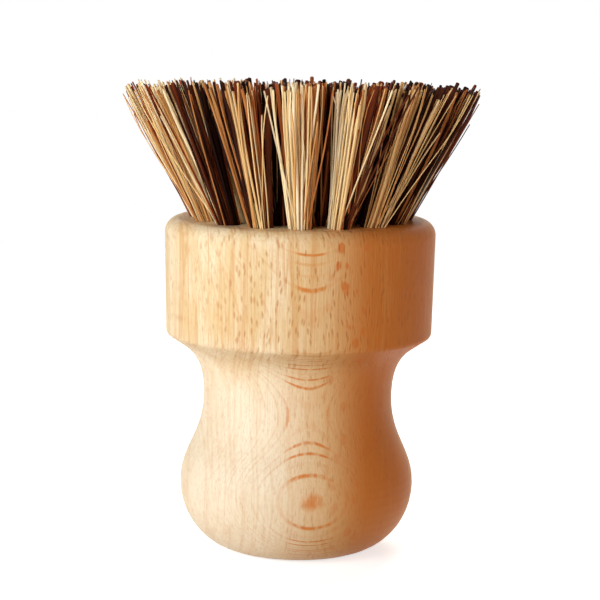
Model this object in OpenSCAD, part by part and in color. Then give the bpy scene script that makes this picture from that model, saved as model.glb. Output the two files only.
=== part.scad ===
// Palm brush: a turned beech knob with stiff plant-fibre tufts set in rings of splayed holes.
// Millimetres, +Z up, origin at the centre of the foot.

/* [Handle] */
// Height of the turned handle from its foot to its rim
handle_h = 64.5; // [60:0.1:72]
// Diameter of the flat foot
foot_d = 21.2; // [16:0.2:30]
// Diameter of the belly, where the palm holds it
belly_d = 45.2; // [40:0.2:50]
// Height of the belly's widest line above the foot
belly_z = 13.2; // [10:0.1:17]
// Diameter of the waist, where the fingers close
waist_d = 36.4; // [32:0.2:39]
// Height of the waist above the foot
waist_z = 30.2; // [27:0.1:33]

/* [Collar] */
// Diameter of the collar just under its rounded rim
collar_d = 52; // [51.6:0.2:58]
// Diameter that the collar's wall loses on its way down
collar_taper = 0.7; // [0:0.1:2]
// Height of the collar, from its lower corner to the rim
collar_h = 22.2; // [19:0.1:25]
// Radius of the rounded rim
rim_round = 2.8; // [1:0.1:3]
// How far the chamfer under the collar steps in
chamfer_in = 3; // [1.5:0.1:4]
// How far the chamfer under the collar drops
chamfer_drop = 2; // [1:0.1:3]
// Size of the eased lower corner of the collar
corner_ease = 0.5; // [0.2:0.1:1]

/* [Holes] */
// Tufts in the ring round the centre tuft
inner_count = 5; // [3:1:5]
// Tufts in the middle ring
middle_count = 11; // [6:1:11]
// Tufts in the outer ring
outer_count = 16; // [8:1:16]
// Width of the wood that is left outside the outer ring of holes, measured at the rim
rim_wood = 4.85; // [4.2:0.05:5]
// Diameter of each drilled hole
hole_d = 4.5; // [4.4:0.05:4.6]
// Depth of each drilled hole along its own axis
hole_depth = 9; // [7.5:0.1:10]
// Depth below the rim of the point that all the holes are aimed at
fan_depth = 43; // [40:0.5:60]

/* [Tufts] */
// Strands in each tuft
strand_count = 13; // [9:1:13]
// Width of a strand, which is square
strand_w = 0.52; // [0.4:0.01:0.54]
// Free length of the tufts above the rim
bristle_l = 26.4; // [20:0.1:32]
// Radius of the circle that the strands of a tuft have opened to at the tip
tip_r = 5.1; // [4:0.1:5.3]
// How much the length of single strands varies, either way
trim_play = 0.9; // [0:0.1:1.5]
// How much single strands stray sideways, either way
stray = 0.25; // [0:0.01:0.3]
// How far the bound root of a tuft stays below the rim
root_recess = 0.7; // [0.4:0.1:1]

/* [Anchors] */
// Thickness of the flat wire that an anchor is cut from
anchor_t = 0.45; // [0.35:0.05:0.5]
// Width of that wire
anchor_w = 1.7; // [1.4:0.1:2]
// How far each end of an anchor bites into the wood
anchor_bite = 0.35; // [0.3:0.05:0.45]
// Height of an anchor above the bottom of its hole
anchor_lift = 0.9; // [0.6:0.1:1.2]

/* [Fits] */
// Clearance between a root and its hole
root_fit = 0.05; // [0.02:0.01:0.1]
// Clearance between the strands and the wall of their hole, where they leave the root
strand_fit = 0.2; // [0.18:0.01:0.26]
// Clearance round an anchor, in the wood and in the root
anchor_fit = 0.05; // [0.02:0.01:0.1]

/* [Hidden] */
$fn = 96;
curve_steps = 12;
golden_angle = 137.508;
strand_sides = 4;
strand_grip = 1;
ease_steps = 3;
belly_pull = 0.38;
waist_pull = 0.48;
cove_pull = 0.6;
cove_lead = 0.3;
over_rim = 6;
ring_names = ["centre", "inner", "middle", "outer"];
ring_counts = [1, inner_count, middle_count, outer_count];
outer_ring = len(ring_counts) - 1;
wood = "burlywood";
steel = "silver";
fibre_colours = ["wheat", "saddlebrown", "tan", "maroon", "khaki", "sienna", "black"];

collar_low_r = (collar_d - collar_taper) / 2;
ring_pitch = (collar_d / 2 - rim_wood - hole_d / 2) / outer_ring;
corner_z = handle_h - collar_h;
cove = [collar_low_r - chamfer_in, corner_z - chamfer_drop];
anchor_l = hole_d + 2 * anchor_bite;
strand_r = strand_w / sqrt(2);
root_r = hole_d / 2 - strand_fit - strand_r;
window_z = anchor_lift - hole_depth;

// Each tuft is [ring, place in the ring]
TUFTS = [for (ring = [0 : outer_ring]) for (i = [0 : ring_counts[ring] - 1]) [ring, i]];

function tuft_name(t) = str("tuft_", ring_names[t[0]], "_", t[1] + 1);

// Direction of a tuft's hole, seen from above: the outer ring starts at the front, and each ring
// starts half a step on from the ring outside it
function tuft_turn(t) = 360 * (t[1] + (outer_ring - t[0]) / 2) / ring_counts[t[0]] - 90;

function tuft_radius(t) = t[0] * ring_pitch;

function tuft_tilt(t) = atan(tuft_radius(t) / fan_depth);

// A number of its own for each tuft, which its strands take their variation from
function tuft_seed(t) = 1000 * t[0] + 37 * t[1];

function bezier(a, b, c, d, steps) =
    [for (i = [1 : steps]) let (u = i / steps, v = 1 - u)
        v * v * v * a + 3 * v * v * u * b + 3 * v * u * u * c + u * u * u * d];

// Half section of the handle, from the foot's edge up to the edge of the flat top
function handle_outline() =
    let (foot_r = foot_d / 2,
         belly = [belly_d / 2, belly_z],
         waist = [waist_d / 2, waist_z],
         rise = waist_z - belly_z,
         climb = cove[1] - waist_z,
         chamfer = [chamfer_in, chamfer_drop],
         corner = [collar_low_r, corner_z],
         ease = corner_ease * chamfer / norm(chamfer),
         rim = [collar_d / 2 - rim_round, handle_h - rim_round])
    concat(
        [for (i = [0 : curve_steps]) let (a = 90 * i / curve_steps)
            [foot_r + (belly[0] - foot_r) * sin(a), belly_z * (1 - cos(a))]],
        bezier(belly, belly + [0, belly_pull * rise], waist - [0, waist_pull * rise], waist, curve_steps),
        bezier(waist, waist + [0, cove_pull * climb], cove - cove_lead * climb * chamfer / norm(chamfer), cove,
               curve_steps),
        [corner - ease],
        bezier(corner - ease, corner - ease / 2, corner + [0, corner_ease / 2], corner + [0, corner_ease],
               ease_steps),
        [for (i = [0 : curve_steps]) let (a = 90 * i / curve_steps) rim + rim_round * [cos(a), sin(a)]]);

// Puts its children at the mouth of a tuft's hole, with +Z along the hole
module at_hole(t) {
    rotate([0, 0, tuft_turn(t)])
        translate([tuft_radius(t), 0, handle_h])
            rotate([0, tuft_tilt(t), 0])
                children();
}

// The flat wire of one anchor, grown all round by a gap: it lies across the hole, along the ring
module anchor_bar(gap) {
    translate([-anchor_t / 2 - gap, -anchor_l / 2 - gap, window_z - gap])
        cube([anchor_t + 2 * gap, anchor_l + 2 * gap, anchor_w + 2 * gap]);
}

module handle() {
    color(wood)
        difference() {
            rotate_extrude()
                polygon(concat([[0, 0]], handle_outline(), [[0, handle_h]]));
            for (t = TUFTS)
                at_hole(t) {
                    translate([0, 0, -hole_depth])
                        cylinder(d = hole_d, h = hole_depth + over_rim);
                    anchor_bar(anchor_fit);
                }
        }
}

module anchors() {
    color(steel)
        for (t = TUFTS)
            at_hole(t) anchor_bar(0);
}

// Three points that one strand runs through: in the bound root, part of the way up, and at its tip
function strand_path(seed, s) =
    let (play = rands(-1, 1, 5, seed + s),
         spot = sqrt((s + 0.5) / strand_count) * [cos(golden_angle * s), sin(golden_angle * s)],
         root = root_r * spot,
         tip = tip_r * spot + stray * [play[0], play[1]],
         bend = (root + tip) / 2 + stray / 2 * [play[2], play[3]],
         tip_z = bristle_l + trim_play * play[4])
    [[root[0], root[1], -root_recess - strand_grip],
     [bend[0], bend[1], bristle_l / 2],
     [tip[0], tip[1], tip_z]];

// One strand: a square tube through the points of its path, with triangles for faces
module strand(path, turn) {
    last = strand_sides * (len(path) - 1);
    points = [for (p = path) for (k = [0 : strand_sides - 1])
        p + strand_r * [cos(turn + 360 * k / strand_sides), sin(turn + 360 * k / strand_sides), 0]];
    walls = [for (ring = [0 : len(path) - 2]) for (k = [0 : strand_sides - 1])
        let (a = ring * strand_sides + k,
             b = ring * strand_sides + (k + 1) % strand_sides,
             c = a + strand_sides,
             d = b + strand_sides)
        each [[a, c, d], [a, d, b]]];
    ends = [for (k = [1 : strand_sides - 2]) each [[0, k, k + 1], [last, last + k + 1, last + k]]];
    polyhedron(points, concat(walls, ends));
}

// The folded fibres in the hole, bound into one root that lets the anchor pass
module root() {
    difference() {
        translate([0, 0, root_fit - hole_depth])
            cylinder(r = hole_d / 2 - root_fit, h = hole_depth - root_fit - root_recess);
        anchor_bar(anchor_fit);
    }
}

module tuft(t) {
    at_hole(t) {
        color(fibre_colours[0]) root();
        for (s = [0 : strand_count - 1])
            color(fibre_colours[(s + t[1]) % len(fibre_colours)])
                strand(strand_path(tuft_seed(t), s), golden_angle * s);
    }
}

handle();
anchors();
for (t = TUFTS)
    tuft(t);
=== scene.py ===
"""Palm brush: a turned beech knob whose collar is filled with splayed tufts of stiff mixed plant fibre."""

import math

import bpy
import numpy as np
from mathutils import Matrix, Vector


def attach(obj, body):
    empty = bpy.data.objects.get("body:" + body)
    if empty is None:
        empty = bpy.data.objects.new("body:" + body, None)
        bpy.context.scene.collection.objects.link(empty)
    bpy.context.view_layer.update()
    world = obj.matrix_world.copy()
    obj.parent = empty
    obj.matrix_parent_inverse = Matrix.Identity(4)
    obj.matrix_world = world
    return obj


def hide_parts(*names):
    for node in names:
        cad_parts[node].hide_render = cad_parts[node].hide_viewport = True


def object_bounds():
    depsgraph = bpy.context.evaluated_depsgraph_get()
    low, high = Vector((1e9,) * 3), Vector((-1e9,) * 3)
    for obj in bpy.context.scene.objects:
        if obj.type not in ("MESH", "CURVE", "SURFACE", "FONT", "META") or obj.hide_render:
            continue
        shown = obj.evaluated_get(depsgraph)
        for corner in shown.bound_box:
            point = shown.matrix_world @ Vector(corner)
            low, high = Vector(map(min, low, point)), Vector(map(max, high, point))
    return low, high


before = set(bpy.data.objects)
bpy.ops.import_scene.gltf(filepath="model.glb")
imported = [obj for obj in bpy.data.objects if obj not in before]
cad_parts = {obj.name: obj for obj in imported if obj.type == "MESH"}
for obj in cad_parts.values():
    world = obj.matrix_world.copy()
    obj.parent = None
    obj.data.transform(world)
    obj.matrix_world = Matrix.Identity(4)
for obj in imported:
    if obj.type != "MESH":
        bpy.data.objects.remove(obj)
cad_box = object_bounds()

# Lengths, heights and widths are in millimetres, unless a comment says otherwise

# Holes of the brush, as they are drilled in the handle
RINGS = (("centre", 1), ("inner", 5), ("middle", 11), ("outer", 16))
RIM_Z = 64.5
RING_PITCH = 6.3
FAN_DEPTH = 43.0
HOLE_R = 2.25

# Make of a tuft: its fibres, the clumps that they fall into, and the sides and steps of a fibre's mesh
FIBRES = 72
CLUMPS = 8
FIBRE_SIDES = 6
FIBRE_STEPS = 9

# Fibres in the hole: how deep they start, and how far they stay from its wall
SUNK = 1.6
ROOT_GAP = 0.08

# Fibres at the tip: how far a tuft opens, how far fibres and clumps stray, and where they end outwards
SPREAD = 5.0
STRAY = 0.7
CLUMP_STRAY = 0.8
OUTERMOST = (4.4, 5.0)

# Fibres that cross their neighbours: where they start in the tuft, which share of the others and of the
# hairs it is, how far out they end, and how far they go aside
CROSSING_FROM = 0.45
CROSSING_SHARE = (0.3, 0.9)
CROSSING_OUT = (4.7, 5.2)
CROSSING_ASIDE = (2.0, 6.5)

# Trimmed top: its height in the middle, its fall towards the back, and its fall at the outer edge
TRIM_TOP = 89.1
TRIM_TILT = 0.085
TRIM_EDGE = 34.0
TRIM_DROP = 0.8
TRIM_PASSES = 6

# How unevenly the fibres end at it, how many are short and by how much, how much longer the broad ones are,
# their usual length, and how far the tips stay inside the solids' box
TRIM_PLAY = 0.75
TRIM_LIMIT = 1.8
SHORT_SHARE = 0.1
SHORT_BY = (1.5, 8.0)
BROAD = 0.6
BROAD_MORE = 0.5
USUAL_LENGTH = 27.0
BOX_ROOM = 0.1

# Bend of the fibres on their way up, and how many times as much of it the hairs have
BOW = 0.45
HAIR_BOW = 1.4
WAVE = 0.12
HAIR_WAVE = 2.0

# Section of the fibres: how they turn in radians and swell along their length, and the last ring of points
# that blunts the cut end, with the size of the section as 1 and its rise as a share of the thickness
TWIST = 0.5
SWELL = 0.05
BLUNT_SIZE = 0.62
BLUNT_RISE = 0.35
BLUNT_LENGTH = 0.1

# Angles in degrees above which an edge stays sharp
FIBRE_SHARP = 50
HANDLE_SHARP = 30

# Kinds of fibre: black, umber, brown, russet, chestnut, tan, straw, cream
TONES = (0.03, 0.14, 0.27, 0.40, 0.53, 0.66, 0.80, 0.93)
WIDTHS = (0.56, 0.48, 0.42, 0.50, 0.36, 0.34, 0.38, 0.42)
FLATNESS = (0.42, 0.5, 0.6, 0.7, 0.8, 0.8, 0.75, 0.7)
DARKEST = 2
DARKER = 4
TONE_PLAY = 0.05
WIDTH_PLAY = 0.3
WIDTH_LIMITS = (0.22, 1.15)
STOUT_SHARE = 0.14
STOUT_WIDTH = 1.7

# Hairs: their share of the darkest two kinds and of the others, their kinds and their width
HAIR_SHARE = (0.12, 0.3)
HAIR_KINDS = (2, 6)
HAIR_WIDTHS = (0.16, 0.3)

# Colours of the tones from 0 to 1, and of the cut ends
TONE_COLOURS = (
    (0.02, (24, 8, 4)), (0.14, (50, 19, 10)), (0.27, (92, 42, 20)), (0.40, (142, 56, 26)),
    (0.53, (188, 118, 64)), (0.66, (226, 172, 106)), (0.80, (246, 216, 156)), (0.95, (255, 240, 204)),
)
CUT_COLOUR = (80, 40, 20)

# Share of each kind in a mix
MIXES = {
    "pale": (0.02, 0.02, 0.03, 0.04, 0.07, 0.14, 0.34, 0.34),
    "tan": (0.03, 0.05, 0.08, 0.08, 0.24, 0.28, 0.16, 0.08),
    "russet": (0.06, 0.12, 0.16, 0.38, 0.12, 0.06, 0.05, 0.05),
    "dark": (0.40, 0.27, 0.16, 0.08, 0.04, 0.03, 0.01, 0.01),
    "mixed": (0.14, 0.12, 0.12, 0.12, 0.13, 0.12, 0.14, 0.11),
    # Partly painted shade: the deep mix is darker to stand in for the shade inside the brush, over fibres
    # that are also dark of their own
    "deep": (0.30, 0.26, 0.16, 0.12, 0.07, 0.05, 0.02, 0.02),
}

# Mixes of a tuft's left and right side, seen from outside the brush
TUFT_MIXES = {
    "outer_1": ("pale", "tan"), "outer_2": ("pale", "tan"), "outer_3": ("tan", "dark"),
    "outer_4": ("dark", "russet"), "outer_5": ("dark", "dark"), "outer_6": ("dark", "mixed"),
    "outer_7": ("mixed", "pale"), "outer_8": ("tan", "pale"), "outer_9": ("pale", "mixed"),
    "outer_10": ("tan", "pale"), "outer_11": ("pale", "mixed"), "outer_12": ("mixed", "pale"),
    "outer_13": ("pale", "mixed"), "outer_14": ("pale", "pale"), "outer_15": ("pale", "dark"),
    "outer_16": ("dark", "russet"),
    # Partly painted shade: the middle and inner tufts behind the gaps at the front take the deep mix, which
    # darkens them where shade falls
    "middle_1": ("deep", "deep"), "middle_2": ("deep", "deep"), "middle_3": ("deep", "deep"),
    "middle_4": ("deep", "mixed"), "middle_5": ("pale", "tan"), "middle_6": ("pale", "tan"),
    "middle_7": ("pale", "pale"), "middle_8": ("pale", "tan"), "middle_9": ("tan", "pale"),
    "middle_10": ("mixed", "pale"), "middle_11": ("deep", "deep"),
    "inner_1": ("deep", "deep"), "inner_2": ("pale", "tan"), "inner_3": ("pale", "tan"),
    "inner_4": ("pale", "mixed"), "inner_5": ("deep", "deep"),
    "centre_1": ("mixed", "pale"),
}

# UV map: a strip for each fibre, with its cut end above it and its root below it. Start and size of each,
# across as shares of the fibre's own column and up as shares of the map
STRIP_U = (0.1, 0.8)
STRIP_V = (0.02, 0.94)
CUT_V = (0.97, 0.02)
CUT_TO_ROOT = 0.965

# Growth layers of the wood: the degrees that they face to the right of the front, the eye of their rings on
# the belly, its shift to the left with height, their pitch in front of it, and how many there are to a
# millimetre just behind it and how fast that grows
GRAIN_FACING = 7.4
EYE_Z = 13.2
EYE_DEPTH = 22.66
EYE_SHIFT = 0.0285
LAYER_PITCH = 0.7
LAYERS_BEHIND = 0.85
LAYER_CROWDING = 0.145

# How they lean back with height, less so to the right, and arch above a height
LEAN = 0.0444
LEAN_RIGHT = -0.0011
LEAN_NECK = 0.33
ARCH_Z = 48.8
ARCH = 0.0152

# Heights between which the wood's look changes from the belly's to the collar's, and between which the
# growth lines fade at the rim
NECK = (34.0, 46.0)
RIM_FADE = (61.3, 62.5)

# Cells of the marks, one mark in each: across the grain, in depth and in height. The blots are strongest in
# a band that lies to the right of the middle
RAY_CELL = (0.72, 9, 2.5)
SPECK_CELL = (0.5, 5, 1.1)
BLOT_CELL = (2.6, 90, 3.0)
BLOT_BAND = 6.0

# Colours of the wood, in the order in which they are laid over each other. The pale colour is a painted
# sheen, and the golden and the deep orange-brown colours are painted shade that deepens to the right
WOOD = {
    "base": (242, 224, 187), "mottle": (230, 202, 152), "pale": (242, 231, 209), "golden": (224, 186, 132),
    "deep_painted_shade": (202, 122, 52), "vein": (208, 148, 84), "line": (212, 122, 40), "blot": (206, 106, 36),
    "speck": (196, 132, 76), "ray": (184, 110, 48), "fibre": (208, 152, 88),
}
STEEL = ((188, 187, 184), (150, 148, 144))

# Relief of the surfaces, in metres
WOOD_RELIEF = 0.00014
FIBRE_RELIEF = 0.00008
STEEL_RELIEF = 0.00001

# Soft boxes: name, azimuth, elevation, distance and size in metres, level, colour
LAMPS = (
    ("key", -60, 7, 0.6, 0.3, 0.55, (0.92, 1.0, 1.1)),
    ("front", -28, 17, 0.6, 0.3, 0.55, (1.0, 1.0, 1.0)),
    ("side", 72, 10, 0.6, 0.4, 0.2, (1.0, 0.55, 0.3)),
    ("back", 170, 50, 0.6, 0.4, 0.7, (1.0, 0.98, 0.95)),
)
LAMPS_AIM = (0, 0, 0.045)
AMBIENT = (0.04, 0.022, 0.012, 1.0)
WHITE = (1, 1, 1, 1)

# Floor, in metres: its radius, how far it lies below the foot, and where its shaded part ends in plain white
FLOOR_R = 1.5
FLOOR_SIDES = 96
FLOOR_BELOW = 0.0001
FLOOR_FADE = (0.15, 0.5)
FLOOR_LIT = (0.8, 0.8, 0.8, 1)
FLOOR_GLOW = 0.7
FLOOR_BOUNCE = (0.82, 0.72, 0.6, 1)

# Camera, fitted to the photograph: its place and near limit in metres, and its angles in radians
LENS = 137.58
SENSOR = 36.0
SHIFT_X = 0.00133
NEAR = 0.01
CAMERA_AT = (0, -0.4386, 0.11207)
LOOK_DOWN = 0.1439
CAMERA_ROLL = 0.0171


def srgb(red, green, blue):
    """A colour written in the usual 0 to 255 values, as the linear colour that the shaders take."""
    parts = [c / 255 for c in (red, green, blue)]
    return tuple(c / 12.92 if c <= 0.04045 else ((c + 0.055) / 1.055) ** 2.4 for c in parts) + (1.0,)


class Shader:
    """The node tree of a material or of the world, with short calls for the nodes that it is made of."""

    def __init__(self, owner):
        owner.use_nodes = True
        self.owner = owner
        self.nodes = owner.node_tree.nodes
        self.links = owner.node_tree.links
        self.nodes.clear()

    def put(self, socket, value):
        """Links an input to another node's output, or gives it a constant."""
        if isinstance(value, bpy.types.NodeSocket):
            self.links.new(value, socket)
        else:
            socket.default_value = value

    def add(self, kind, inputs=(), **settings):
        """A new node. Its inputs go by name or by number."""
        node = self.nodes.new(kind)
        for name, value in settings.items():
            setattr(node, name, value)
        for name, value in dict(inputs).items():
            self.put(node.inputs[name], value)
        return node

    def math(self, operation, *values):
        return self.add("ShaderNodeMath", enumerate(values), operation=operation).outputs[0]

    def sum(self, first, *rest):
        for value in rest:
            first = self.math("ADD", first, value)
        return first

    def times(self, first, *rest):
        for value in rest:
            first = self.math("MULTIPLY", first, value)
        return first

    def away_from(self, value, middle):
        """How far a value is from a number, either way."""
        return self.math("ABSOLUTE", self.sum(value, -middle))

    def scaled(self, vector, factors):
        return self.add("ShaderNodeVectorMath", {0: vector, 1: factors}, operation="MULTIPLY").outputs[0]

    def combine(self, x, y, z):
        return self.add("ShaderNodeCombineXYZ", {"X": x, "Y": y, "Z": z}).outputs[0]

    def millimetres(self):
        """Place on the piece, in millimetres."""
        return self.scaled(self.add("ShaderNodeTexCoord").outputs["Object"], (1000.0,) * 3)

    def noise(self, place, scale, detail=2.0, roughness=0.5):
        """Smooth noise around 0.5. The scale says how fast it changes along each axis."""
        inputs = {"Vector": self.scaled(place, scale), "Scale": 1.0, "Detail": detail, "Roughness": roughness}
        return self.add("ShaderNodeTexNoise", inputs).outputs["Fac"]

    def spots(self, place, cell):
        """Distance to the nearest point of a random scatter, one point to each cell of the given size."""
        place = self.scaled(place, [1 / length for length in cell])
        return self.add("ShaderNodeTexVoronoi", {"Vector": place, "Scale": 1.0}).outputs["Distance"]

    def fade(self, value, start, end, low=0.0, high=1.0):
        """Low before start, high after end, and smooth between them."""
        inputs = {"Value": value, "From Min": start, "From Max": end, "To Min": low, "To Max": high}
        return self.add("ShaderNodeMapRange", inputs, interpolation_type="SMOOTHSTEP").outputs["Result"]

    def mix(self, share, a, b):
        """Colour a where the share is 0, and colour b where it is 1."""
        return self.add("ShaderNodeMix", {0: share, 6: a, 7: b}, data_type="RGBA").outputs[2]

    def mix_shaders(self, share, a, b):
        """Surface a where the share is 0, and surface b where it is 1."""
        return self.add("ShaderNodeMixShader", {0: share, 1: a, 2: b}).outputs[0]

    def ramp(self, value, stops):
        node = self.add("ShaderNodeValToRGB", {"Fac": value})
        elements = node.color_ramp.elements
        while len(elements) < len(stops):
            elements.new(0.5)
        for element, (place, colour) in zip(elements, stops):
            element.position = place
            element.color = srgb(*colour)
        return node.outputs["Color"]

    def seen(self):
        """1 for what the camera sees, also in a reflection or through glass, and 0 for light on its way."""
        path = self.add("ShaderNodeLightPath").outputs
        mirrored = self.math("MAXIMUM", path["Is Glossy Ray"], path["Is Transmission Ray"])
        return self.math("MAXIMUM", path["Is Camera Ray"], mirrored)

    def finish(self, colour, roughness, height, depth, **constants):
        """Ends in a Principled shader. Height is a relief from 0 to 1, and depth its size in metres."""
        shader = self.add("ShaderNodeBsdfPrincipled", {"Base Color": colour, "Roughness": roughness})
        for name, value in constants.items():
            shader.inputs[name.replace("_", " ")].default_value = value
        bump = self.add("ShaderNodeBump", {"Height": height, "Strength": 1.0, "Distance": depth})
        self.put(shader.inputs["Normal"], bump.outputs[0])
        self.add("ShaderNodeOutputMaterial", {"Surface": shader.outputs[0]})
        return self.owner


def growth_lines(s, place, x, z, depth, side, broken):
    """Edges of the growth layers: rings round the eye on the belly, and arcs on the waist and the collar."""
    above_eye = s.sum(z, -EYE_Z)
    off_middle = s.math("ABSOLUTE", s.sum(side, s.times(above_eye, EYE_SHIFT)))
    wander = s.noise(place, (0.09, 0.09, 0.05), detail=1.0)
    wander = s.times(s.sum(wander, -0.5), 0.9, s.fade(off_middle, 2.0, 12.0, 0.25, 1.6))
    arch = s.math("MAXIMUM", s.sum(z, -ARCH_Z), 0.0)
    lean = s.sum(s.times(arch, arch, ARCH), s.times(above_eye, s.sum(s.times(x, LEAN_RIGHT), LEAN)),
                 s.fade(z, 36.0, 46.0, 0.0, LEAN_NECK))

    # Layers are counted from the eye's depth, forwards at an even pitch and backwards ever closer together
    forward = s.sum(depth, -EYE_DEPTH, wander, lean)
    behind = s.math("MAXIMUM", s.times(forward, -1), 0.0)
    layer = s.math("SUBTRACT", s.times(s.math("MAXIMUM", forward, 0.0), 1 / LAYER_PITCH),
                   s.times(behind, s.sum(s.times(behind, LAYER_CROWDING), LAYERS_BEHIND)))
    nearest = s.math("ROUND", layer)
    off_line = s.math("ABSOLUTE", s.math("SUBTRACT", layer, nearest))

    # Some are stronger than others, and they fade off the middle, at the rim and towards the back
    strong = s.fade(s.math("SINE", s.sum(s.times(nearest, 2.19), 2.92)), -0.8, 0.5, 0.15, 1.0)
    clear = s.fade(s.times(off_middle, s.fade(z, 40.0, 48.0, 1.0, 1.5)), 2.8, 4.8, 1.0, 0.22)
    return s.times(s.fade(off_line, 0.04, 0.22, 1.0, 0.0), strong, clear,
                   s.fade(broken, 0.32, 0.55, 0.35, 1.0), s.fade(z, *RIM_FADE, 1.0, 0.2),
                   s.fade(depth, -6.0, 4.0))


def beech():
    """Beech with growth layers, short dark rays, fine specks, a band of darker blots, veins and fibre, over
    tones that go from pale on the left to deep on the right, which is painted shade, and with a painted
    sheen that makes the lower front paler."""
    s = Shader(bpy.data.materials.new("beech"))
    facing = math.radians(GRAIN_FACING)
    place = s.millimetres()
    x, y, z = s.add("ShaderNodeSeparateXYZ", {"Vector": place}).outputs
    depth = s.sum(s.times(x, math.sin(facing)), s.times(y, -math.cos(facing)))
    side = s.sum(s.times(x, math.cos(facing)), s.times(y, math.sin(facing)))
    broken = s.noise(place, (0.9, 0.9, 0.3))
    line = growth_lines(s, place, x, z, depth, side, broken)

    slant = s.noise(place, (0.12, 0.12, 0.1), detail=0.0)
    slanted = s.combine(s.sum(side, s.times(slant, 3.0)), depth, z)
    ray = s.fade(s.spots(slanted, RAY_CELL), 0.1, 0.4, 1.0, 0.0)
    ray = s.times(ray, s.fade(z, *NECK, 0.5, 1.0),
                  s.fade(s.sum(x, s.fade(z, *NECK, -14.0, 0.0)), -22.0, -8.0, 0.35, 1.0))
    speck = s.fade(s.spots(slanted, SPECK_CELL), 0.1, 0.4, 1.0, 0.0)
    blot = s.sum(s.spots(slanted, BLOT_CELL), s.times(s.sum(broken, -0.5), 0.6))
    blot = s.times(s.fade(blot, 0.22, 0.38, 1.0, 0.0),
                   s.fade(s.away_from(side, BLOT_BAND), 2.0, 4.5, 1.0, 0.08),
                   s.fade(depth, 0.0, 8.0), s.fade(z, *NECK, 0.35, 1.0))
    vein = s.noise(s.combine(side, depth, z), (0.36, 0.02, 0.01), roughness=0.6)
    vein = s.fade(s.away_from(vein, 0.5), 0.004, 0.03, 1.0, 0.0)
    fibre = s.noise(place, (3.0, 3.0, 0.2), detail=3.0, roughness=0.6)
    cloud = s.noise(place, (0.3, 0.3, 0.06))

    shares = {
        "mottle": s.fade(cloud, 0.35, 0.65),
        # Painted sheen: the lower front of the wood is made paler, where a sheen of the lamps falls
        "pale": s.times(s.fade(z, 30.0, 48.0, 0.65, 0.0), s.fade(y, -12.0, 6.0, 1.0, 0.3)),
        # Painted shade: the front of the wood turns golden and then deep orange-brown from the middle to the
        # right, where the lamps' light falls off
        "golden": s.times(s.fade(x, -8.0, 10.0), s.fade(y, -10.0, 8.0, 1.0, 0.3)),
        "deep_painted_shade": s.times(s.fade(x, 4.0, 14.0), s.fade(y, -12.0, 8.0, 1.0, 0.1),
                         s.fade(z, 2.0, 16.0, 0.75, 1.0)),
        "vein": s.times(vein, s.fade(z, *NECK, 0.16, 0.4)),
        "line": s.times(line, 0.9),
        "blot": s.times(blot, 0.75),
        "speck": s.times(speck, 0.16),
        "ray": s.times(ray, 0.55),
        "fibre": s.times(s.fade(fibre, 0.4, 0.72, 0.0, 0.38), s.fade(z, *NECK, 0.5, 1.0)),
    }
    colour = srgb(*WOOD["base"])
    for name, share in shares.items():
        colour = s.mix(share, colour, srgb(*WOOD[name]))
    roughness = s.fade(fibre, 0.3, 0.7, 0.42, 0.52)
    relief = s.sum(s.times(fibre, 0.6), s.times(ray, -0.4))
    return s.finish(colour, roughness, relief, WOOD_RELIEF, Specular_IOR_Level=0.12)


def plant_fibre():
    """Split fibre: its tone is the fibre's own, with streaks along it and a darker cut end."""
    s = Shader(bpy.data.materials.new("plant fibre"))
    tone = s.add("ShaderNodeAttribute", attribute_name="tone").outputs["Fac"]
    reach = s.add("ShaderNodeAttribute", attribute_name="reach").outputs["Fac"]
    grain = s.add("ShaderNodeAttribute", attribute_name="grain").outputs["Vector"]
    streak = s.noise(grain, (3.2, 0.22, 1.0), detail=3.0, roughness=0.6)
    patch = s.noise(grain, (0.4, 0.16, 1.0), detail=1.0)
    shift = s.sum(s.times(s.sum(streak, -0.5), 0.16), s.times(s.sum(patch, -0.5), 0.16))
    colour = s.ramp(s.sum(tone, shift), TONE_COLOURS)
    end = s.sum(reach, s.times(s.sum(streak, -0.5), 0.02))
    colour = s.mix(s.fade(end, 0.98, 1.0, 0.0, 0.12), colour, srgb(*CUT_COLOUR))
    roughness = s.fade(streak, 0.3, 0.7, 0.5, 0.62)
    return s.finish(colour, roughness, streak, FIBRE_RELIEF, Specular_IOR_Level=0.08)


def drawn_wire():
    """Flat wire of the anchors: grey steel with drawing marks along it."""
    s = Shader(bpy.data.materials.new("drawn wire"))
    marks = s.noise(s.millimetres(), (0.6, 0.6, 9.0), detail=3.0)
    colour = s.mix(marks, *(srgb(*grey) for grey in STEEL))
    return s.finish(colour, s.fade(marks, 0.3, 0.7, 0.28, 0.45), marks, STEEL_RELIEF, Metallic=1.0)


def tuft_frame(ring, index):
    """Where a tuft leaves its hole, and its three directions: outwards, along the ring, along the hole."""
    count, outer = RINGS[ring][1], len(RINGS) - 1
    turn = math.radians(360 * (index + (outer - ring) / 2) / count - 90)
    out = np.array((math.cos(turn), math.sin(turn), 0.0))
    along_ring = np.array((-out[1], out[0], 0.0))
    up = np.array((0.0, 0.0, 1.0))
    radius = ring * RING_PITCH
    tilt = math.atan(radius / FAN_DEPTH)
    along_hole = math.sin(tilt) * out + math.cos(tilt) * up
    outwards = math.cos(tilt) * out - math.sin(tilt) * up
    return radius * out + RIM_Z * up, outwards, along_ring, along_hole


def fibre_spots(rng):
    """Place of each fibre in its tuft, outwards and along the ring in a circle of radius 1, and its clump."""
    order = np.arange(FIBRES)
    golden = math.pi * (3 - math.sqrt(5))
    spin = golden * order + rng.uniform(0, 2 * math.pi)
    spot = np.sqrt((order + 0.5) / FIBRES)[:, None] * np.stack([np.cos(spin), np.sin(spin)], axis=1)
    centres = np.sqrt(rng.random((CLUMPS, 1))) * np.stack(
        [f(rng.uniform(0, 2 * math.pi, CLUMPS)) for f in (np.cos, np.sin)], axis=1)
    clump = np.linalg.norm(spot[:, None] - centres[None], axis=2).argmin(axis=1)
    return spot, clump


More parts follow.
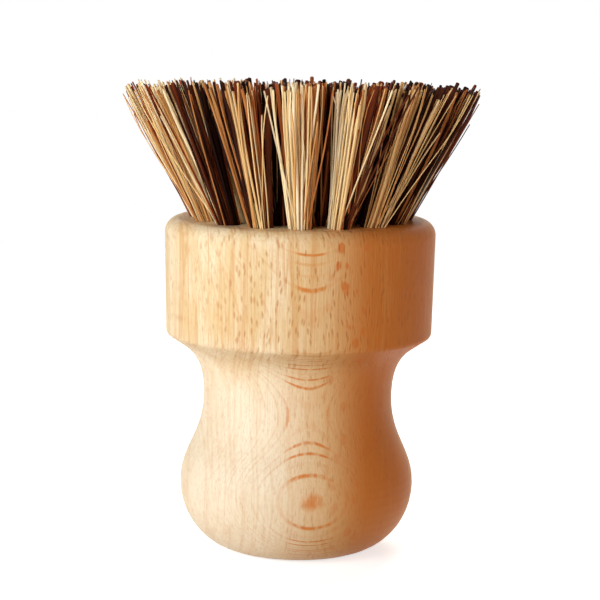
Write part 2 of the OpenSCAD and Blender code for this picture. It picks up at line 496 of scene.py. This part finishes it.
def fibre_kinds(rng, name, spot, clump):
    """Kind of each fibre, from the mixes of its tuft. Half of the fibres take the kind of their clump."""
    left, right = (np.array(MIXES[mix]) for mix in TUFT_MIXES[name])
    centres = np.array([spot[clump == c].mean(axis=0) if (clump == c).any() else (0, 0)
                        for c in range(CLUMPS)])
    kinds = []
    for sideways in (centres[:, 1], spot[:, 1]):
        share = np.clip(0.5 + 1.5 * sideways, 0, 1)[:, None]
        odds = np.cumsum((1 - share) * left + share * right, axis=1)
        kinds.append((rng.random((len(sideways), 1)) * odds[:, -1:] > odds).sum(axis=1))
    return np.where(rng.random(FIBRES) < 0.5, kinds[0][clump], kinds[1])


def fibre_makes(rng, kind):
    """Tone, width and thickness of each fibre, and whether it is a hair."""
    width = np.take(WIDTHS, kind) * np.exp(rng.normal(0, WIDTH_PLAY, FIBRES))
    hair = rng.random(FIBRES) < np.where(kind < DARKEST, *HAIR_SHARE)
    kind = np.where(hair, np.maximum(kind, rng.integers(*HAIR_KINDS, FIBRES)), kind)
    stout = (kind < DARKER) & (rng.random(FIBRES) < STOUT_SHARE)
    width = np.where(hair, rng.uniform(*HAIR_WIDTHS, FIBRES),
                     np.clip(np.where(stout, STOUT_WIDTH, 1.0) * width, *WIDTH_LIMITS))
    tone = np.take(TONES, kind) + rng.normal(0, TONE_PLAY, FIBRES)
    return tone, width, width * np.take(FLATNESS, kind), hair


def fibre_tips(rng, mouth, across, along_hole, width, hair, spot, clump):
    """Tip of each fibre on the trimmed top."""
    stray = rng.normal(0, STRAY, (FIBRES, 2)) + rng.normal(0, CLUMP_STRAY, (CLUMPS, 2))[clump]
    side = SPREAD * spot + stray
    side[:, 0] = np.minimum(side[:, 0], rng.uniform(*OUTERMOST, FIBRES))
    some, most = CROSSING_SHARE
    crossing = (spot[:, 0] > CROSSING_FROM) & (rng.random(FIBRES) < np.where(hair, most, some)) \
        & (width < BROAD)
    aside = side[:, 1] + rng.uniform(*CROSSING_ASIDE, FIBRES) * rng.choice((-1, 1), FIBRES)
    side[crossing] = np.stack([rng.uniform(*CROSSING_OUT, FIBRES), aside], axis=1)[crossing]
    short = np.where(rng.random(FIBRES) < SHORT_SHARE, rng.uniform(*SHORT_BY, FIBRES), 0.0)
    side *= (1 - short / USUAL_LENGTH)[:, None]
    play = np.clip(rng.normal(0, TRIM_PLAY, FIBRES), -TRIM_LIMIT, TRIM_LIMIT)
    trim = play - short + np.where(width > BROAD, BROAD_MORE, 0.0)

    # The height of the trimmed top depends on where the tip is, so the length is found in passes
    length = np.full(FIBRES, USUAL_LENGTH)
    for _ in range(TRIM_PASSES):
        tip = mouth + side @ across + length[:, None] * along_hole
        radius = np.hypot(tip[:, 0], tip[:, 1])
        goal = TRIM_TOP - TRIM_TILT * tip[:, 1] - TRIM_DROP * (radius / TRIM_EDGE) ** 6 + trim
        length += (goal - tip[:, 2]) / along_hole[2]
    return keep_in_box(mouth + side @ across + length[:, None] * along_hole, width)


def keep_in_box(tip, width):
    """Draws the tips in that would stand outside the solids' box."""
    low, high = (np.array(corner) * 1000 for corner in cad_box)
    room = (width / 2 + BOX_ROOM)[:, None]
    return np.minimum(np.maximum(tip, low + room), high - room)


def fibre_lines(rng, ring, index, width, hair, spot, clump):
    """Middle line of each fibre: points from its root in the hole to its cut end."""
    mouth, outwards, along_ring, along_hole = tuft_frame(ring, index)
    across = np.stack([outwards, along_ring])
    root = mouth + ((HOLE_R - ROOT_GAP - width / 2)[:, None] * spot) @ across - SUNK * along_hole
    tip = fibre_tips(rng, mouth, across, along_hole, width, hair, spot, clump)
    u = np.linspace(0, 1, FIBRE_STEPS)
    bow = rng.normal(0, BOW, (FIBRES, 2)) * np.where(hair, HAIR_BOW, 1.0)[:, None]
    wave = rng.normal(0, WAVE, (FIBRES, 2)) * np.where(hair, HAIR_WAVE, 1.0)[:, None]
    line = root[:, None] + (tip - root)[:, None] * u[None, :, None]
    sway = bow[:, None] * (4 * u * (1 - u) * u)[None, :, None] \
        + wave[:, None] * (np.sin(2 * math.pi * u) * u)[None, :, None]
    return line + sway @ across


def fibre_points(rng, line, width, thickness, turns):
    """Rings of points round the middle lines, with a smaller one beyond the cut end that blunts it."""
    heading = np.gradient(line, axis=1)
    heading /= np.linalg.norm(heading, axis=2, keepdims=True)
    roll = rng.uniform(0, math.pi, (FIBRES, 1)) \
        + rng.normal(0, TWIST, (FIBRES, 1)) * np.linspace(0, 1, FIBRE_STEPS)
    wide = np.stack([np.cos(roll), np.sin(roll), np.zeros_like(roll)], axis=2)
    wide -= (wide * heading).sum(axis=2, keepdims=True) * heading
    wide /= np.linalg.norm(wide, axis=2, keepdims=True)
    thick = np.cross(heading, wide)

    swell = 1 + rng.normal(0, SWELL, (FIBRES, FIBRE_STEPS))
    swell[:, 0] = 1
    half_w = (width[:, None] / 2 * swell)[:, :, None, None] * np.cos(turns)[None, None, :, None]
    half_t = (thickness[:, None] / 2 * swell)[:, :, None, None] * np.sin(turns)[None, None, :, None]
    points = line[:, :, None] + half_w * wide[:, :, None] + half_t * thick[:, :, None]
    rise = BLUNT_RISE * thickness[:, None, None]
    end = line[:, -1:] + BLUNT_SIZE * (points[:, -1] - line[:, -1:]) + rise * heading[:, -1:]
    return np.concatenate([points, end[:, None]], axis=1)


def way_along(line):
    """How far each ring of points is along its fibre."""
    steps = np.linalg.norm(np.diff(line, axis=1), axis=2)
    along = np.concatenate([np.zeros((FIBRES, 1)), np.cumsum(steps, axis=1)], axis=1)
    return np.concatenate([along, along[:, -1:] + BLUNT_LENGTH], axis=1)


def fibre_faces(shape):
    """Faces of all the fibres: the quads of their sides, then the cut ends, then the roots."""
    corner = np.arange(math.prod(shape)).reshape(shape)
    following = np.roll(corner, -1, axis=2)
    quads = np.stack([corner[:, :-1], following[:, :-1], following[:, 1:], corner[:, 1:]], axis=-1)
    ends = np.concatenate([corner[:, -1], corner[:, 0, ::-1]])
    return quads.reshape(-1, 4).tolist() + ends.tolist()


def fibre_uv(reach, turns):
    """Places of the faces' corners in the UV map, in the order of fibre_faces."""
    order = np.arange(FIBRES)
    edges = np.arange(FIBRE_SIDES + 1)
    strip = (order[:, None, None] + STRIP_U[0] + STRIP_U[1] * edges / FIBRE_SIDES) / FIBRES
    strip = np.broadcast_to(strip, reach.shape + (FIBRE_SIDES + 1,))
    height = np.broadcast_to(STRIP_V[0] + STRIP_V[1] * reach[:, :, None], strip.shape)
    grid = np.stack([strip, height], axis=-1)
    quads = np.stack([grid[:, :-1, :-1], grid[:, :-1, 1:], grid[:, 1:, 1:], grid[:, 1:, :-1]], axis=-2)
    disc = 0.5 + 0.5 * np.stack([np.cos(turns), np.sin(turns)], axis=1)
    cap = np.stack([(order[:, None] + STRIP_U[0] + STRIP_U[1] * disc[:, 0]) / FIBRES,
                    np.broadcast_to(CUT_V[0] + CUT_V[1] * disc[:, 1], (FIBRES, FIBRE_SIDES))], axis=-1)
    foot = cap[:, ::-1] - (0.0, CUT_TO_ROOT)
    return np.concatenate([quads.reshape(-1, 2), cap.reshape(-1, 2), foot.reshape(-1, 2)])


def tuft_mesh(name, rng, ring, index):
    """All the fibres of one tuft as one mesh, with the attributes that their material reads: the tone, how
    far along the fibre a point is, and a place for the streaks."""
    spot, clump = fibre_spots(rng)
    tone, width, thickness, hair = fibre_makes(rng, fibre_kinds(rng, name, spot, clump))
    line = fibre_lines(rng, ring, index, width, hair, spot, clump)
    turns = 2 * math.pi * np.arange(FIBRE_SIDES) / FIBRE_SIDES
    points = fibre_points(rng, line, width, thickness, turns)
    along = way_along(line)
    reach = along / along[:, -1:]
    shape = points.shape[:3]
    mesh = bpy.data.meshes.new(name)
    mesh.from_pydata((points.reshape(-1, 3) / 1000).tolist(), [], fibre_faces(shape))

    around = np.broadcast_to(width[:, None, None] * turns, shape)
    number = np.arange(FIBRES)[:, None, None] * 7.3 + 100 * ring + 17 * index
    grain = np.stack([around, np.broadcast_to(along[:, :, None], shape), np.broadcast_to(number, shape)],
                     axis=-1)
    for label, kind, field, values in (
            ("tone", "FLOAT", "value", np.broadcast_to(tone[:, None, None], shape)),
            ("reach", "FLOAT", "value", np.broadcast_to(reach[:, :, None], shape)),
            ("grain", "FLOAT_VECTOR", "vector", grain)):
        values = np.ascontiguousarray(values, np.float32).ravel()
        mesh.attributes.new(label, kind, "POINT").data.foreach_set(field, values)

    uv = fibre_uv(reach, turns).astype(np.float32).ravel()
    mesh.uv_layers.new(name="OFBake").data.foreach_set("uv", uv)
    mesh.shade_smooth()
    mesh.set_sharp_from_angle(angle=math.radians(FIBRE_SHARP))
    mesh.validate()
    return mesh


def lamp(name, azimuth, elevation, distance, size, level, colour):
    """A square soft box round the brush, azimuth 0 in front and 90 on the right. Level 1 shows a
    surface that faces it at its own colour."""
    light = bpy.data.lights.new(name, "AREA")
    light.size = size
    light.color = colour
    light.energy = level * math.pi ** 2 * distance ** 2
    obj = bpy.data.objects.new(name, light)
    bpy.context.scene.collection.objects.link(obj)
    a, e = math.radians(azimuth), math.radians(elevation)
    target = Vector(LAMPS_AIM)
    obj.location = target + distance * Vector((math.sin(a) * math.cos(e), -math.cos(a) * math.cos(e),
                                               math.sin(e)))
    obj.rotation_euler = (target - obj.location).to_track_quat("-Z", "Y").to_euler()


def set_world():
    """White to the camera and in reflections, and a low warm light that fills the shadows."""
    world = bpy.data.worlds.new("studio")
    bpy.context.scene.world = world
    s = Shader(world)
    ambient, white = (s.add("ShaderNodeBackground", {"Color": c}).outputs[0] for c in (AMBIENT, WHITE))
    s.add("ShaderNodeOutputWorld", {"Surface": s.mix_shaders(s.seen(), ambient, white)})


def floor_white():
    """White with a soft shadow near the brush and plain white beyond it, to whoever sees it. To the light
    that comes back up from it, it is a warm pale surface."""
    s = Shader(bpy.data.materials.new("floor"))
    away = s.add("ShaderNodeVectorMath", {0: s.add("ShaderNodeTexCoord").outputs["Object"]},
                 operation="LENGTH").outputs["Value"]
    lit = s.add("ShaderNodeBsdfDiffuse", {"Color": FLOOR_LIT}).outputs[0]
    glow = s.add("ShaderNodeEmission", {"Color": WHITE, "Strength": FLOOR_GLOW}).outputs[0]
    near = s.add("ShaderNodeAddShader", {0: lit, 1: glow}).outputs[0]
    far = s.add("ShaderNodeEmission", {"Color": WHITE, "Strength": 1.0}).outputs[0]
    shown = s.mix_shaders(s.fade(away, *FLOOR_FADE), near, far)
    bounce = s.add("ShaderNodeBsdfDiffuse", {"Color": FLOOR_BOUNCE}).outputs[0]
    s.add("ShaderNodeOutputMaterial", {"Surface": s.mix_shaders(s.seen(), bounce, shown)})
    return s.owner


def lay_floor():
    """A round white floor that keeps the brush's soft shadow and ends in plain white."""
    turns = [2 * math.pi * i / FLOOR_SIDES for i in range(FLOOR_SIDES)]
    mesh = bpy.data.meshes.new("floor")
    mesh.from_pydata([(FLOOR_R * math.cos(turn), FLOOR_R * math.sin(turn), 0) for turn in turns], [],
                     [list(range(FLOOR_SIDES))])
    mesh.materials.append(floor_white())
    floor = bpy.data.objects.new("floor", mesh)
    floor.location.z = -FLOOR_BELOW
    bpy.context.scene.collection.objects.link(floor)


def set_camera():
    """The photograph's view: a long lens a little above the brush, looking slightly down."""
    data = bpy.data.cameras.new("camera")
    data.lens = LENS
    data.sensor_width = SENSOR
    data.shift_x = SHIFT_X
    data.clip_start = NEAR
    camera = bpy.data.objects.new("camera", data)
    camera.matrix_world = Matrix.Translation(CAMERA_AT) \
        @ Matrix.Rotation(math.pi / 2 - LOOK_DOWN, 4, "X") \
        @ Matrix.Rotation(CAMERA_ROLL, 4, "Z")
    bpy.context.scene.collection.objects.link(camera)
    bpy.context.scene.camera = camera


def dress_solids():
    """The turned handle and the anchors keep their solids and get their real surfaces."""
    for node, material in (("handle", beech()), ("anchors", drawn_wire())):
        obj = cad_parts[node]
        obj.data.materials.clear()
        obj.data.materials.append(material)
    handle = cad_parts["handle"].data
    handle.shade_smooth()
    handle.set_sharp_from_angle(angle=math.radians(HANDLE_SHARP))


def grow_tufts():
    """Fine fibres in place of the solids' strands, one object for each tuft."""
    material = plant_fibre()
    for ring, (ring_name, count) in enumerate(RINGS):
        for index in range(count):
            name = f"{ring_name}_{index + 1}"
            rng = np.random.default_rng(5000 + 100 * ring + index)
            mesh = tuft_mesh(name, rng, ring, index)
            mesh.materials.append(material)
            tuft = bpy.data.objects.new(f"fibres_{name}", mesh)
            bpy.context.scene.collection.objects.link(tuft)
            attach(tuft, "root")
            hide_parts(f"tuft_{name}")


def light_scene():
    """The soft boxes and the white surroundings, with colours shown as they are."""
    bpy.context.scene.view_settings.view_transform = "Standard"
    set_world()
    for settings in LAMPS:
        lamp(*settings)


set_camera()
dress_solids()
grow_tufts()
lay_floor()
light_scene()
